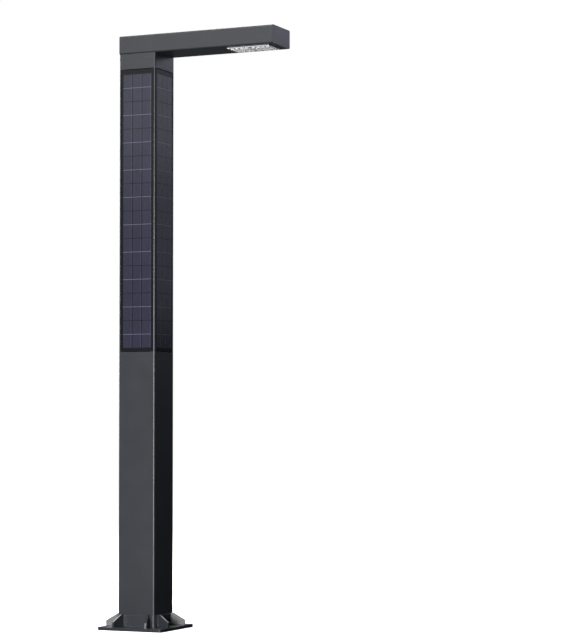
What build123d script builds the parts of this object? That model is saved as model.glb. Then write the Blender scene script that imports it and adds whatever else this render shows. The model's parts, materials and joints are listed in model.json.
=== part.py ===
from build123d import *
import math
import os

# Solar street lamp: a square steel column on a ribbed base plate, solar modules let into
# all four faces of its upper half, and a flat arm over the head with two LED optics under
# its tip. The battery and the charge controller stand in the column behind a service door.
# Millimetres, Z up. The origin is the centre of the base plate's underside, X runs along
# the arm, and the front face of the column looks along -Y.

os.makedirs("parts", exist_ok=True)

# ---- driving dimensions ----
lamp_height = 2910.0
column_side = 200.0
column_wall = 5.0
column_radius = 8.0

base_side = 350.0
base_thickness = 16.0
base_corner_radius = 12.0
anchor_pitch = 280.0
anchor_hole_radius = 11.0
cable_entry_radius = 40.0

collar_wall = 6.0
collar_height = 57.0
rib_thickness = 10.0
rib_length = 69.0
rib_height = 61.0
rib_end_height = 26.0
rib_flat = 12.0
rib_root_offset = 68.0
rib_splay = 17.5

window_bottom = 1355.0
window_top = 2744.0
window_rim = 9.0
laminate_thickness = 4.2
laminate_recess = 1.5
laminate_gap = 2.0
gasket_thickness = 2.3
gasket_width = 14.0
post_flange_reach = 70.0
post_flange_thickness = 3.0
spigot_length = 40.0
brace_height = 30.0
brace_thickness = 4.0
brace_levels = {"lower": 1365.0, "middle": 2035.0, "upper": 2705.0}

junction_depth = 20.3
junction_width = 60.0
junction_bottom = 1420.0
junction_top = 1500.0
junction_outlet = 5.0

top_plate_thickness = 20.0
arm_length = 830.0
arm_height = 90.0
arm_wall = 4.0
arm_radius = 8.0

arm_bolt_offset = 70.0
arm_bolt_radius = 6.0
arm_bolt_head = 7.5
arm_nut_height = 10.0
arm_bolt_point = 3.0
bolt_clearance = 0.5

optic_length = 225.0
optic_width = 130.0
optic_end_margin = 35.0
optic_flange = 12.0
optic_joint = 0.4
lens_thickness = 3.3
lens_gasket_thickness = 1.2

dome_radius = 13.0
dome_height = 6.0
dome_count = 4
dome_pitch_x = 25.0
dome_pitch_y = 25.0

optic_screw_radius = 2.0
optic_screw_inset = 6.0
optic_screw_clearance = 0.2
optic_screw_head_radius = 3.8
optic_screw_head_height = 2.4

sink_thickness = 5.0
sink_end_overlap = 10.0
sink_side_overlap = 5.0
bare_end = 40.0
fin_thickness = 2.0
fin_height = 30.0
fin_pitch = 10.0
fin_count = 14
led_board_thickness = 1.6
terminal_gap = 5.0
terminal_length = 25.0
terminal_width = 30.0
terminal_height = 36.0

door_bottom = 500.0
door_height = 400.0
door_width = 124.0
door_corner_radius = 10.0
door_gap = 1.5
door_thickness = 3.5
door_seal_inset = 2.0
door_seal_band = 4.0
door_seal_gap = 0.3
ledge_width = 6.0
ledge_lap = 8.0
ledge_thickness = 3.0

hinge_pin_radius = 2.0
hinge_running_gap = 0.05
hinge_knuckle_radius = 4.0
hinge_leaf_thickness = 2.0
hinge_leaf_width = 25.0
hinge_knuckle_length = 20.0
hinge_knuckle_gap = 0.3
hinge_levels = [560.0, 780.0]

lock_height = 700.0
lock_offset = 44.0
lock_plug_radius = 6.0
lock_barrel_radius = 9.0
lock_head_radius = 12.0
lock_head_thickness = 2.0
lock_slot_width = 1.4
lock_slot_length = 8.0
lock_slot_depth = 3.0
lock_running_gap = 0.08
cam_length = 20.0
cam_width = 10.0
cam_thickness = 3.0
cam_gap = 0.4

board_clearance = 3.0
plate_inner_face = 60.0
equipment_plate_thickness = 2.0
equipment_plate_width = 150.0
equipment_plate_bottom = 455.0
equipment_plate_top = 955.0

plate_screw_radius = 3.0
plate_screw_head_radius = 5.0
plate_screw_head_height = 3.5
plate_screw_reach = 12.0
plate_screw_offset = 65.0
plate_screw_levels = (470.0, 940.0)
standoff_radius = 7.0

tray_level = 470.0
tray_thickness = 3.0
tray_lip = 12.0
tray_front = -40.0
tray_width = 116.0

battery_front = -32.0
battery_back = 56.0
battery_width = 110.0
battery_top = 703.0
battery_corner = 4.0
battery_post_radius = 7.0
battery_post_height = 6.0
battery_post_x = 10.0
battery_post_offset = 20.0

strap_level = 600.0
strap_width = 22.0
strap_thickness = 1.5

case_chamfer = 3.0
controller_front = 20.0
controller_sides = (-50.0, 35.0)
controller_levels = (760.0, 890.0)
driver_front = 32.0
driver_sides = (42.0, 70.0)
driver_levels = (760.0, 880.0)

stud_radius = 4.0
stud_length = 20.0
stud_x = -60.0
stud_level = 640.0
stud_nut_radius = 7.5
stud_nut_height = 6.5
stud_nut_starts = (-91.0, -83.0)

cable_radius = 3.5
lead_radius = 2.5
battery_lead_rise = 25.0
battery_lead_end = 38.0

module_lead_x = 45.0
module_lead_bend_top = 1290.0
module_lead_bend_bottom = 1100.0
module_lead_ends = {"front": -40.0, "right": -15.0, "back": 10.0, "left": 28.0}

lamp_cable_x = 45.0
lamp_cable_y = 56.0
lamp_cable_level = 31.0
lamp_cable_bend_bottom = 945.0
lamp_cable_bend_top = 1030.0
lamp_cable_bends = [45.0, 45.0, 28.0]

grommet_radius = 15.75
grommet_flange = 4.0
grommet_flange_thickness = 3.0
clip_places = (150.0, 280.0, 400.0)
clip_half_length = 6.0
clip_half_width = 8.0

# ---- derived values ----
half = column_side / 2
inner_half = half - column_wall
arm_underside = lamp_height - arm_height
head_top = arm_underside - top_plate_thickness
arm_floor = arm_underside + arm_wall
arm_tip = arm_length - half
collar_half = half + collar_wall
collar_top = base_thickness + collar_height
window_half = half - window_rim
laminate_half = window_half - laminate_gap
laminate_face = half - laminate_recess
laminate_back = laminate_face - laminate_thickness
flange_face = laminate_back - gasket_thickness
flange_back = flange_face - post_flange_thickness
door_top = door_bottom + door_height
door_half = door_width / 2
door_inner_face = -half + door_thickness
hinge_x = -half - hinge_knuckle_radius
hinge_y = door_half
optic_x1 = arm_tip - optic_end_margin
optic_x0 = optic_x1 - optic_length
optic_half = optic_width / 2
lens_top = arm_underside - lens_gasket_thickness
lens_bottom = lens_top - lens_thickness
module_length = (optic_length - optic_joint) / 2
sink_x0 = optic_x0 - sink_end_overlap
sink_x1 = optic_x1 + sink_end_overlap
sink_top = arm_floor + sink_thickness
terminal_x0 = sink_x0 + terminal_gap
junction_face = laminate_back - junction_depth
plate_back = plate_inner_face + equipment_plate_thickness
tray_top = tray_level + tray_thickness
post_top = battery_top + battery_post_height

FACES = {"right": 0, "back": 90, "left": 180, "front": 270}


# ---- helpers ----
def block(x0, x1, y0, y1, z0, z1):
    """A box between its lowest and highest corners."""
    centre = Pos((x0 + x1) / 2, (y0 + y1) / 2, (z0 + z1) / 2)
    return centre * Box(x1 - x0, y1 - y0, z1 - z0)


def square_bar(side, radius, z0, z1):
    """An upright square bar on the column's axis, with rounded corners."""
    return extrude(Pos(0, 0, z0) * RectangleRounded(side, side, radius), amount=z1 - z0)


def square_tube(side, wall, radius, z0, z1):
    """An upright square tube on the column's axis."""
    inner_radius = max(radius - wall, 1.0)
    bore = square_bar(side - 2 * wall, inner_radius, z0, z1)
    return square_bar(side, radius, z0, z1) - bore


def upright(radius, x, y, z0, z1):
    """A cylinder along Z."""
    return Pos(x, y, (z0 + z1) / 2) * Cylinder(radius, z1 - z0)


def crosswise(radius, x0, x1, y, z):
    """A cylinder along X."""
    return Pos((x0 + x1) / 2, y, z) * Rot(0, 90, 0) * Cylinder(radius, x1 - x0)


def hexagon(radius, x, y, z0, z1):
    """A hexagonal head or nut along Z, radius to its corners."""
    return extrude(Pos(x, y, z0) * RegularPolygon(radius, 6), amount=z1 - z0)


def panel_x(x0, x1, half_width, z0, z1, radius):
    """A flat panel with rounded corners, lying across X."""
    outline = RectangleRounded(2 * half_width, z1 - z0, radius)
    plane = Plane(origin=(x0, 0, (z0 + z1) / 2), x_dir=(0, 1, 0), z_dir=(1, 0, 0))
    return extrude(plane * outline, amount=x1 - x0)


def wire(points, radius, bends):
    """A round cable along straight runs joined by tangent arcs."""
    path = FilletPolyline(*points, radius=bends)
    start = Plane(origin=path @ 0, z_dir=path % 0)
    return sweep(start * Circle(radius), path=path)


def bend_radii(points):
    """The arc at each inner point: 0.45 of its shorter run over tan of half its turn."""
    radii = []
    for before, here, after in zip(points, points[1:], points[2:]):
        run_in = Vector(*here) - Vector(*before)
        run_out = Vector(*after) - Vector(*here)
        half_turn = math.radians(run_in.get_angle(run_out)) / 2
        radii.append(0.45 * min(run_in.length, run_out.length) / math.tan(half_turn))
    return radii


def save(node, *solids):
    """Write one node, as one solid or as a group of separate solids."""
    shape = solids[0] if len(solids) == 1 else Compound(children=list(solids))
    export_step(shape, f"parts/{node}.step")


# ---- base: plate, collar round the column's foot, eight splayed ribs ----
def make_base():
    plate = square_bar(base_side, base_corner_radius, 0, base_thickness)
    plate = chamfer(plate.faces().sort_by(Axis.Z)[-1].edges(), 1.0)
    plate -= upright(cable_entry_radius, 0, 0, 0, base_thickness)
    offset = anchor_pitch / 2
    for x in (-offset, offset):
        for y in (-offset, offset):
            plate -= upright(anchor_hole_radius, x, y, 0, base_thickness)
    save("base_plate", plate)

    outer = square_bar(2 * collar_half, column_radius + collar_wall, base_thickness, collar_top)
    outer = chamfer(outer.faces().sort_by(Axis.Z)[-1].edges(), 1.5)
    collar = outer - square_bar(column_side, column_radius, base_thickness, collar_top)
    save("base_collar", collar)

    overlap = 10.0
    profile = Polyline(
        (-overlap, 0),
        (rib_length, 0),
        (rib_length, rib_end_height),
        (rib_flat, rib_height),
        (-overlap, rib_height),
        close=True,
    )
    sheet = extrude(Plane.XZ * make_face(profile), amount=rib_thickness / 2, both=True)
    keep_out = block(-collar_half, collar_half, -collar_half, collar_half, 0, lamp_height)
    ribs = []
    for turn in FACES.values():
        for side in (-1, 1):
            root = Pos(collar_half, side * rib_root_offset, base_thickness)
            rib = root * Rot(0, 0, side * rib_splay) * sheet - keep_out
            ribs.append(Rot(0, 0, turn) * rib)
    save("base_ribs", *ribs)


# ---- column: lower tube, four corner posts, brace rings, head and top plate ----
def make_post():
    """The corner post of the quadrant X > 0, Y > 0."""
    corner = square_bar(column_side, column_radius, window_bottom, window_top)
    post = corner & block(window_half, half, window_half, half, window_bottom, window_top)
    post += block(flange_back, flange_face, post_flange_reach, flange_face,
                  window_bottom, window_top)
    post += block(post_flange_reach, flange_face, flange_back, flange_face,
                  window_bottom, window_top)
    for z0 in (window_bottom - spigot_length, window_top):
        z1 = z0 + spigot_length
        angle = block(flange_back, inner_half, post_flange_reach, inner_half, z0, z1)
        angle += block(post_flange_reach, inner_half, flange_back, inner_half, z0, z1)
        post += angle & square_bar(2 * inner_half, column_radius - column_wall, z0, z1)
    return post


def make_column():
    tube = square_tube(column_side, column_wall, column_radius, base_thickness, window_bottom)
    tube -= panel_x(-half, -inner_half, door_half, door_bottom, door_top, door_corner_radius)
    save("column_tube", tube)

    post = make_post()
    for name, turn in (("back_right", 0), ("back_left", 90), ("front_left", 180),
                       ("front_right", 270)):
        save(f"corner_post_{name}", Rot(0, 0, turn) * post)

    for name, level in brace_levels.items():
        ring = square_tube(2 * flange_back, brace_thickness, 1.5, level, level + brace_height)
        save(f"brace_ring_{name}", ring)

    save("column_head", square_tube(column_side, column_wall, column_radius,
                                    window_top, head_top))

    plate = square_bar(column_side, column_radius, head_top, arm_underside)
    plate -= upright(grommet_radius, 0, 0, head_top, arm_underside)
    for x, y in arm_bolt_places():
        plate -= upright(arm_bolt_radius + bolt_clearance, x, y, head_top, arm_underside)
    save("column_top_plate", plate)


# ---- solar modules: laminate, gasket frame and junction box in each face ----
def make_modules():
    z0 = window_bottom + laminate_gap
    z1 = window_top - laminate_gap
    laminate = block(laminate_back, laminate_face, -laminate_half, laminate_half, z0, z1)
    seal = block(flange_face, laminate_back, -laminate_half, laminate_half, z0, z1)
    seal -= block(flange_face, laminate_back, gasket_width - laminate_half,
                  laminate_half - gasket_width, z0 + gasket_width, z1 - gasket_width)
    for name, turn in FACES.items():
        save(f"pv_module_{name}", Rot(0, 0, turn) * laminate)
        save(f"pv_gasket_{name}", Rot(0, 0, turn) * seal)

    side = junction_width / 2
    box = block(junction_face, laminate_back, -side, side, junction_bottom, junction_top)
    box = chamfer(box.faces().sort_by(Axis.X)[0].edges(), case_chamfer)
    save("pv_junction_boxes", *[Rot(0, 0, turn) * box for turn in FACES.values()])


# ---- arm: rectangular tube, end caps, bolts into weld nuts ----
def arm_bolt_places():
    return [(x, y) for x in (-arm_bolt_offset, arm_bolt_offset)
            for y in (-arm_bolt_offset, arm_bolt_offset)]


def optic_screw_places():
    """The corners of the two lens plates, where their screws go."""
    places = []
    across = optic_half - optic_screw_inset
    for start in (optic_x0, optic_x1 - module_length):
        for x in (start + optic_screw_inset, start + module_length - optic_screw_inset):
            for y in (-across, across):
                places.append((x, y))
    return places


def arm_section(side_inset, radius, x0, x1):
    """The arm's outline, drawn in by an inset and run along X."""
    outline = RectangleRounded(column_side - 2 * side_inset, arm_height - 2 * side_inset, radius)
    plane = Plane(origin=(x0, 0, arm_underside + arm_height / 2), x_dir=(0, 1, 0),
                  z_dir=(1, 0, 0))
    return extrude(plane * outline, amount=x1 - x0)


def make_arm():
    tube = arm_section(0, arm_radius, -half, arm_tip)
    tube -= arm_section(arm_wall, arm_radius - arm_wall, -half, arm_tip)
    tube -= block(optic_x0 + optic_flange, optic_x1 - optic_flange, optic_flange - optic_half,
                  optic_half - optic_flange, arm_underside, arm_floor)
    tube -= upright(grommet_radius, 0, 0, arm_underside, arm_floor)
    for x, y in arm_bolt_places():
        tube -= upright(arm_bolt_radius + bolt_clearance, x, y, arm_underside, arm_floor)
    for x, y in optic_screw_places():
        tube -= upright(optic_screw_radius + optic_screw_clearance, x, y, arm_underside, arm_floor)
    save("arm_tube", tube)
    for name, x0 in (("arm_rear_cap", -half), ("arm_tip_cap", arm_tip - arm_wall)):
        save(name, arm_section(arm_wall, arm_radius - arm_wall, x0, x0 + arm_wall))

    bolts = []
    nuts = []
    corner = 1.75 * arm_bolt_radius
    nut_top = arm_floor + arm_nut_height
    for x, y in arm_bolt_places():
        shank = upright(arm_bolt_radius, x, y, head_top, nut_top + arm_bolt_point)
        bolts.append(shank + hexagon(corner, x, y, head_top - arm_bolt_head, head_top))
        bore = upright(arm_bolt_radius, x, y, arm_floor, nut_top)
        nuts.append(hexagon(corner, x, y, arm_floor, nut_top) - bore)
    save("arm_bolts", *bolts)
    save("arm_weld_nuts", *nuts)


# ---- LED unit: heat sink, boards, gasket, two lens plates and their screws ----
def make_lens(x0):
    x1 = x0 + module_length
    lens = block(x0, x1, -optic_half, optic_half, lens_bottom, lens_top)
    drop = dome_radius - dome_height
    middle = (dome_count - 1) / 2
    for i in range(dome_count):
        for j in range(dome_count):
            x = (x0 + x1) / 2 + (i - middle) * dome_pitch_x
            y = (j - middle) * dome_pitch_y
            ball = Pos(x, y, lens_bottom + drop) * Sphere(dome_radius)
            lens += ball & block(x - dome_radius, x + dome_radius, y - dome_radius,
                                 y + dome_radius, lens_bottom - dome_height,
                                 lens_bottom + 1.0)
    for x, y in optic_screw_places():
        if x0 < x < x1:
            lens -= upright(optic_screw_radius + optic_screw_clearance, x, y, lens_bottom, lens_top)
    return lens


def make_led_unit():
    side = optic_half + sink_side_overlap
    sink = block(sink_x0, sink_x1, -side, side, arm_floor, sink_top)
    for i in range(fin_count):
        y0 = (i - (fin_count - 1) / 2) * fin_pitch - fin_thickness / 2
        sink += block(sink_x0 + bare_end, sink_x1, y0, y0 + fin_thickness,
                      sink_top, sink_top + fin_height)
    for x, y in optic_screw_places():
        sink -= upright(optic_screw_radius, x, y, arm_floor, sink_top)
    save("led_heat_sink", sink)

    margin = optic_flange + board_clearance
    save("led_board", block(optic_x0 + margin, optic_x1 - margin, margin - optic_half,
                            optic_half - margin, arm_floor - led_board_thickness, arm_floor))

    seal = block(optic_x0, optic_x1, -optic_half, optic_half, lens_top, arm_underside)
    seal -= block(optic_x0 + optic_flange, optic_x1 - optic_flange,
                  optic_flange - optic_half, optic_half - optic_flange,
                  lens_top, arm_underside)
    screws = []
    for x, y in optic_screw_places():
        seal -= upright(optic_screw_radius + optic_screw_clearance, x, y, lens_top, arm_underside)
        shank = upright(optic_screw_radius, x, y, lens_bottom, sink_top)
        head_bottom = lens_bottom - optic_screw_head_height
        screws.append(shank + upright(optic_screw_head_radius, x, y, head_bottom, lens_bottom))
    save("led_gasket", seal)
    save("led_screws", *screws)
    save("led_lens_inner", make_lens(optic_x0))
    save("led_lens_outer", make_lens(optic_x1 - module_length))

    side = terminal_width / 2
    save("led_terminal_block", block(terminal_x0, terminal_x0 + terminal_length, -side, side,
                                     sink_top, sink_top + terminal_height))


# ---- equipment: plate, battery on its tray, controller, driver ----
def make_equipment():
    x0 = plate_inner_face
    side = equipment_plate_width / 2
    plate = block(x0, plate_back, -side, side, equipment_plate_bottom, equipment_plate_top)
    point = plate_back + plate_screw_reach
    standoffs = []
    screws = []
    for y in (-plate_screw_offset, plate_screw_offset):
        for z in plate_screw_levels:
            plate -= crosswise(plate_screw_radius + 0.2, x0, plate_back, y, z)
            spacer = crosswise(standoff_radius, plate_back, inner_half, y, z)
            standoffs.append(spacer - crosswise(plate_screw_radius, plate_back, point + 3, y, z))
            head = crosswise(plate_screw_head_radius, x0 - plate_screw_head_height, x0, y, z)
            screws.append(crosswise(plate_screw_radius, x0, point, y, z) + head)
    save("equipment_plate", plate)
    save("plate_standoffs", *standoffs)
    save("plate_screws", *screws)

    side = tray_width / 2
    back_side = side - tray_thickness
    tray = block(tray_front, x0, -side, side, tray_level, tray_top)
    tray += block(tray_front, tray_front + tray_thickness, -side, side,
                  tray_top, tray_top + tray_lip)
    tray += block(x0 - tray_thickness, x0, -back_side, back_side, tray_top, tray_top + tray_lip)
    save("battery_tray", tray)

    side = battery_width / 2
    battery = block(battery_front, battery_back, -side, side, tray_top, battery_top)
    battery = fillet(battery.edges().filter_by(Axis.Z), battery_corner)
    for y in (-battery_post_offset, battery_post_offset):
        battery += upright(battery_post_radius, battery_post_x, y, battery_top, post_top)
    save("battery_pack", battery)
    outside = side + strap_thickness
    strap_top = strap_level + strap_width
    strap = block(battery_front - strap_thickness, x0, -outside, outside, strap_level, strap_top)
    strap -= block(battery_front, x0, -side, side, strap_level, strap_top)
    save("battery_strap", strap)

    case = block(controller_front, x0, *controller_sides, *controller_levels)
    case = chamfer(case.faces().sort_by(Axis.X)[0].edges(), case_chamfer)
    save("charge_controller", case)
    driver = block(driver_front, x0, *driver_sides, *driver_levels)
    driver = chamfer(driver.faces().sort_by(Axis.X)[0].edges(), case_chamfer - 1)
    save("led_driver", driver)

    middle = stud_length / 2 - inner_half
    stud = Pos(stud_x, middle, stud_level) * Rot(90, 0, 0) * Cylinder(stud_radius, stud_length)
    nuts = []
    for y0 in stud_nut_starts:
        seat = Plane(origin=(stud_x, y0, stud_level), z_dir=(0, 1, 0))
        outline = RegularPolygon(stud_nut_radius, 6) - Circle(stud_radius)
        nuts.append(extrude(seat * outline, amount=stud_nut_height))
    save("earth_stud", stud, *nuts)


# ---- wiring: battery leads, module leads, lamp cable with its grommet and clips ----
def make_wiring():
    case_bottom, case_top = controller_levels
    leads = []
    for y in (-battery_post_offset, battery_post_offset):
        level = post_top + battery_lead_rise
        points = [(battery_post_x, y, post_top), (battery_post_x, y, level),
                  (battery_lead_end, y, level), (battery_lead_end, y, case_bottom)]
        radii = bend_radii(points)
        leads.append(wire(points, lead_radius, radii))
        print("battery lead bends", [round(r, 1) for r in radii])
    save("battery_leads", *leads)

    leads = []
    outlet = junction_face + junction_outlet
    for name, turn in FACES.items():
        angle = math.radians(turn)
        x = outlet * math.cos(angle)
        y = outlet * math.sin(angle)
        points = [(x, y, junction_bottom), (x, y, module_lead_bend_top),
                  (module_lead_x, module_lead_ends[name], module_lead_bend_bottom),
                  (module_lead_x, module_lead_ends[name], case_top)]
        radii = bend_radii(points)
        leads.append(wire(points, lead_radius, radii))
        print(name, "module lead bends", [round(r, 1) for r in radii])
    save("pv_leads", *leads)

    level = arm_floor + lamp_cable_level
    points = [(lamp_cable_x, lamp_cable_y, driver_levels[1]),
              (lamp_cable_x, lamp_cable_y, lamp_cable_bend_bottom),
              (0, 0, lamp_cable_bend_top), (0, 0, level), (terminal_x0, 0, level)]
    save("led_cable", wire(points, cable_radius, lamp_cable_bends))

    bottom = head_top - grommet_flange_thickness
    grommet = upright(grommet_radius, 0, 0, head_top, arm_floor)
    grommet += upright(grommet_radius + grommet_flange, 0, 0, bottom, head_top)
    grommet -= upright(cable_radius, 0, 0, bottom, arm_floor)
    save("cable_grommet", grommet)

    clips = []
    for x in clip_places:
        post = block(x - clip_half_length, x + clip_half_length, -clip_half_width,
                     clip_half_width, arm_floor, level + 2 * cable_radius)
        clips.append(post - crosswise(cable_radius, x - clip_half_length,
                                      x + clip_half_length, 0, level))
    save("cable_clips", *clips)


# ---- service door: ledge frame, door, gasket, hinges and quarter-turn lock ----
def make_door():
    ledge_x0 = -inner_half
    ledge_x1 = ledge_x0 + ledge_thickness
    ledge = panel_x(ledge_x0, ledge_x1, door_half + ledge_lap, door_bottom - ledge_lap,
                    door_top + ledge_lap, door_corner_radius)
    ledge -= panel_x(ledge_x0, ledge_x1, door_half - ledge_width, door_bottom + ledge_width,
                     door_top - ledge_width, door_corner_radius - 2)
    save("door_frame", ledge)

    door = panel_x(-half, door_inner_face, door_half - door_gap, door_bottom + door_gap,
                   door_top - door_gap, door_corner_radius - door_gap)
    door -= crosswise(lock_barrel_radius, -half, door_inner_face, -lock_offset, lock_height)
    save("service_door", door)

    seal_x1 = -inner_half - door_seal_gap
    outer = door_gap + door_seal_inset
    inner = outer + door_seal_band
    seal = panel_x(door_inner_face, seal_x1, door_half - outer, door_bottom + outer,
                   door_top - outer, 6.0)
    seal -= panel_x(door_inner_face, seal_x1, door_half - inner, door_bottom + inner,
                    door_top - inner, 3.0)
    save("door_gasket", seal)


def make_hinges():
    length = hinge_knuckle_length
    face = -half
    skin = face - hinge_leaf_thickness
    clear = hinge_knuckle_radius + 0.5
    fixed = []
    moving = []
    pins = []
    for z in hinge_levels:
        top = z + 3 * length
        low = z + length
        high = z + 2 * length
        leaf = block(skin, face, hinge_y + clear, hinge_y + hinge_leaf_width, z, top)
        for z0, z1 in ((z, low), (high, top)):
            leaf += block(skin, face, hinge_y, hinge_y + clear, z0, z1)
            leaf += upright(hinge_knuckle_radius, hinge_x, hinge_y, z0, z1)
        leaf -= upright(hinge_pin_radius, hinge_x, hinge_y, z, top)
        fixed.append(leaf)

        z0 = low + hinge_knuckle_gap
        z1 = high - hinge_knuckle_gap
        leaf = block(skin, face, hinge_y - hinge_leaf_width, hinge_y - clear, z, top)
        leaf += block(skin, face, hinge_y - clear, hinge_y, z0, z1)
        leaf += upright(hinge_knuckle_radius, hinge_x, hinge_y, z0, z1)
        leaf -= upright(hinge_pin_radius + hinge_running_gap, hinge_x, hinge_y, z0, z1)
        moving.append(leaf)

        pin = upright(hinge_pin_radius, hinge_x, hinge_y, z, top)
        pins.append(pin + upright(hinge_knuckle_radius - 0.5, hinge_x, hinge_y, top, top + 2))
    save("hinge_leaves_fixed", *fixed)
    save("hinge_leaves_door", *moving)
    save("hinge_pins", *pins)


def make_lock():
    y = -lock_offset
    z = lock_height
    barrel_end = -inner_half + ledge_thickness
    head_face = -half - lock_head_thickness
    housing = crosswise(lock_head_radius, head_face, -half, y, z)
    housing += crosswise(lock_barrel_radius, -half, barrel_end, y, z)
    housing -= crosswise(lock_plug_radius + lock_running_gap, head_face, barrel_end, y, z)
    save("lock_housing", housing)

    plug_end = barrel_end + cam_gap
    slot_side = lock_slot_width / 2
    slot_end = lock_slot_length / 2
    plug = crosswise(lock_plug_radius, head_face, plug_end, y, z)
    plug -= block(head_face, head_face + lock_slot_depth, y - slot_side, y + slot_side,
                  z - slot_end, z + slot_end)
    save("lock_plug", plug)

    hub = crosswise(lock_plug_radius, plug_end, plug_end + cam_thickness, y, z)
    tongue = block(plug_end, plug_end + cam_thickness, y - cam_width / 2, y + cam_width / 2,
                   z - cam_length, z)
    save("lock_cam", hub + tongue)


make_base()
make_column()
make_modules()
make_arm()
make_led_unit()
make_equipment()
make_wiring()
make_door()
make_hinges()
make_lock()
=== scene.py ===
import bpy
import bmesh
import json
import math
from mathutils import Matrix, Vector

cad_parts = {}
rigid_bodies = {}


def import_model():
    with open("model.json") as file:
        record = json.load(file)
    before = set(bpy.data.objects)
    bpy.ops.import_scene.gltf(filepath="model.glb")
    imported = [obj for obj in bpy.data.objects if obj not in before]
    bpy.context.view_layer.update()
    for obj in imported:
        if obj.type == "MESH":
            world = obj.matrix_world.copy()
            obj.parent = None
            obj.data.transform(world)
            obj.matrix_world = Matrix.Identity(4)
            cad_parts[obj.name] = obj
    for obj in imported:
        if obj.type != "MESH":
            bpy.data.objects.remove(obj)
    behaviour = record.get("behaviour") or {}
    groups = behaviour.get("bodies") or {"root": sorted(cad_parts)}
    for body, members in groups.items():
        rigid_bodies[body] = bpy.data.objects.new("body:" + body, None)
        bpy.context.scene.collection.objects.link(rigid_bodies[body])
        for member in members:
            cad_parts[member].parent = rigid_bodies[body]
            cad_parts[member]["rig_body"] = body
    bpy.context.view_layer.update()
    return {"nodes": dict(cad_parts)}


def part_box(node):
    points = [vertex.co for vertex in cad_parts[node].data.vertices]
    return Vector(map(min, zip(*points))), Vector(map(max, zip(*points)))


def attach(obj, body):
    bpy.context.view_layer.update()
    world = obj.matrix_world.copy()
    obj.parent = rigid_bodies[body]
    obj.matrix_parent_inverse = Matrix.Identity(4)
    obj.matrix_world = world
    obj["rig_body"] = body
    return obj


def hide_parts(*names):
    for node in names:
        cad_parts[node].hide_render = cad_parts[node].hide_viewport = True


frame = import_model()
scene = bpy.context.scene

# ---- camera: a long lens 10.9 m away, at hip height, looking past the front right corner ----
# The lens is long enough that the column's edges stay almost parallel. A small vertical shift
# lets the camera stay almost level with the whole lamp in the frame.
camera_data = bpy.data.cameras.new("camera")
camera_data.lens = 124.36
camera_data.shift_y = 0.06
camera_data.clip_end = 200.0
camera = bpy.data.objects.new("camera", camera_data)
camera.location = (5.1095, -9.6353, 0.9869)
camera.rotation_euler = (math.radians(91.784), 0, math.radians(24.124))
scene.collection.objects.link(camera)
scene.camera = camera


# ---- studio: a seamless matt white floor, white behind, and soft rectangular lights ----
# The floor is painted board and the lights are cloth-fronted boxes on stands, set round the
# column so that each face has its own even tone and the paint's sheen shows on the corners.
def linear(hex_code):
    """The linear colour of an sRGB hex code."""
    shares = [int(hex_code[i:i + 2], 16) / 255 for i in (0, 2, 4)]
    return tuple(s / 12.92 if s <= 0.04045 else ((s + 0.055) / 1.055) ** 2.4
                 for s in shares) + (1.0,)


def feed(tree, node, inputs):
    """Give each named input of a node its value, or a link from another node's output."""
    for key, value in inputs.items():
        if isinstance(value, bpy.types.NodeSocket):
            tree.links.new(value, node.inputs[key])
        else:
            node.inputs[key].default_value = value


def add(tree, kind, inputs=None, **settings):
    """Add a node with its settings, and feed its inputs."""
    made = tree.nodes.new(kind)
    for name, value in settings.items():
        setattr(made, name, value)
    feed(tree, made, inputs or {})
    return made


def material(name, sockets):
    """A new material; the constants go straight on its shader's own sockets."""
    made = bpy.data.materials.new(name)
    made.use_nodes = True
    shader = made.node_tree.nodes["Principled BSDF"]
    feed(made.node_tree, shader, sockets)
    return made, made.node_tree, shader


def piece(name, shape, *finishes, ease=0.0):
    """Turn a bmesh into an object; its sharp edges are eased by a round of that radius."""
    mesh = bpy.data.meshes.new(name)
    shape.to_mesh(mesh)
    shape.free()
    mesh.shade_smooth()
    for finish in finishes:
        mesh.materials.append(finish)
    made = bpy.data.objects.new(name, mesh)
    scene.collection.objects.link(made)
    if ease:
        round_over = made.modifiers.new("round_over", "BEVEL")
        round_over.width = ease
        round_over.segments = 2
        round_over.limit_method = "ANGLE"
        round_over.angle_limit = math.radians(35)
    else:
        mesh.set_sharp_from_angle(angle=math.radians(35))
    flat = made.modifiers.new("flat_faces", "WEIGHTED_NORMAL")
    flat.weight = 80
    flat.keep_sharp = True
    return made


floor_reach = 40.0
floor_shape = bmesh.new()
bmesh.ops.create_grid(floor_shape, x_segments=1, y_segments=1, size=floor_reach)
floor_paint = material("matt_white_backdrop_paint", {
    "Base Color": linear("f4f4f3"), "Roughness": 0.9, "IOR": 1.4})[0]
floor = piece("floor", floor_shape, floor_paint)
floor.visible_glossy = False
floor.visible_diffuse = False

scene.view_settings.view_transform = "Standard"
world = bpy.data.worlds.new("studio")
scene.world = world
world.use_nodes = True
sky = world.node_tree
sky.nodes.clear()
seen = add(sky, "ShaderNodeLightPath")
behind = add(sky, "ShaderNodeBackground", {"Color": linear("ffffff"), "Strength": 1.0})
ambient = add(sky, "ShaderNodeBackground", {"Color": linear("f2f4f8"), "Strength": 0.02})
mixed = add(sky, "ShaderNodeMixShader", {0: seen.outputs["Is Camera Ray"],
                                         1: ambient.outputs[0], 2: behind.outputs[0]})
add(sky, "ShaderNodeOutputWorld", {"Surface": mixed.outputs[0]})


def softbox(name, place, aim, size, power, colour="ffffff"):
    """A soft rectangular light at a place, turned towards its aim and hidden from the camera."""
    data = bpy.data.lights.new(name, "AREA")
    data.shape = "RECTANGLE"
    data.size, data.size_y = size
    data.energy = power
    data.color = linear(colour)[:3]
    light = bpy.data.objects.new(name, data)
    light.location = place
    light.rotation_euler = (Vector(aim) - Vector(place)).to_track_quat("-Z", "Y").to_euler()
    light.visible_camera = False
    scene.collection.objects.link(light)


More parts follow.
